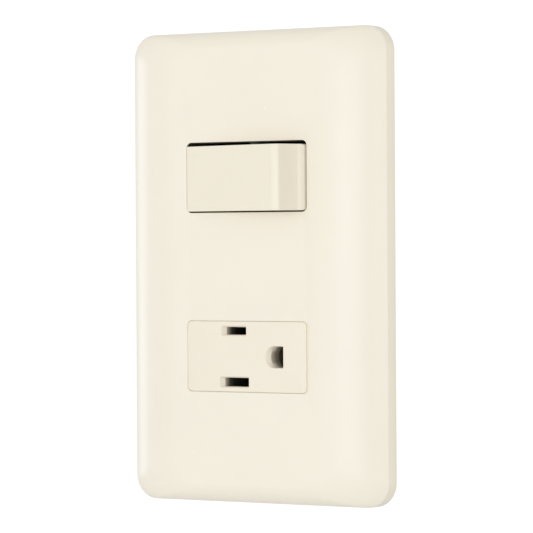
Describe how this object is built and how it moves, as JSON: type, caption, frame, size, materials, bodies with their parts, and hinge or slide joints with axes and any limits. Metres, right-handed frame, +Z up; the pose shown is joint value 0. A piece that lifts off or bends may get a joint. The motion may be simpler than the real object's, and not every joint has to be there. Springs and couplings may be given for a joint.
{
  "type": "wall switch and receptacle plate",
  "caption": "Screwless single-gang wall plate with a horizontal rocker switch above a flush receptacle, both clipped in a steel strap.",
  "frame": {"origin": "centre of the cover plate's back, on the wall plane", "axes": "+X to the right seen from the front, +Y into the wall, +Z up"},
  "size_m": [0.075, 0.0373, 0.1166],
  "materials": {
    "ivory": "glossy moulded plastic",
    "module_plastic": "matte moulded plastic",
    "zinc_steel": "zinc plated",
    "brass": "plain",
    "silver": "silver contact, or nickel plated screw",
    "green_screw": "green dichromate",
    "fibre": "vulcanised fibre"
  },
  "bodies": {
    "frame": {"receptacle_face": "ivory", "mounting_strap": "zinc_steel", "box_screw_upper": "zinc_steel", "box_screw_lower": "zinc_steel", "screw_retainer_upper": "fibre", "screw_retainer_lower": "fibre", "switch_housing": "module_plastic", "receptacle_base": "module_plastic", "fixed_contact": "silver", "fixed_terminal": "brass", "common_terminal": "brass", "switch_screw_left": "brass", "switch_screw_right": "brass", "switch_clamp_left": "zinc_steel", "switch_clamp_right": "zinc_steel", "hot_contact": "brass", "neutral_contact": "brass", "ground_contact": "brass", "hot_screw": "brass", "neutral_screw": "silver", "ground_screw": "green_screw", "hot_clamp": "zinc_steel", "neutral_clamp": "zinc_steel", "ground_clamp": "zinc_steel", "receptacle_screw_left": "zinc_steel", "receptacle_screw_right": "zinc_steel"},
    "cover": {"cover_plate": "ivory"},
    "rocker": {"switch_rocker": "ivory", "plunger_spring": "zinc_steel"},
    "plunger": {"rocker_plunger": "module_plastic"},
    "lever": {"contact_lever": "brass", "moving_contact": "silver"}
  },
  "joints": [
    {"name": "cover_pull", "type": "slide", "parent": "frame", "child": "cover", "axis": [0, -1, 0], "range_m": [0, 0.025]},
    {"name": "rocker_tilt", "type": "hinge", "parent": "frame", "child": "rocker", "pos_m": [0, -0.005, 0.0218], "axis": [0, 0, 1], "range_deg": [0, 22]},
    {"name": "plunger_slide", "type": "slide", "parent": "rocker", "child": "plunger", "axis": [0.1908, 0.9816, 0], "range_m": [-0.0008, 0.0002], "stiffness_N_per_m": 300, "deforming": ["plunger_spring"]},
    {"name": "lever_tilt", "type": "hinge", "parent": "frame", "child": "lever", "pos_m": [0, 0.0058, 0.022], "axis": [0, 0, 1], "range_deg": [-16.1, 0]}
  ],
  "couplings": [
    {"joint": "lever_tilt", "follows": "rocker_tilt", "ratio": -0.7272}
  ]
}
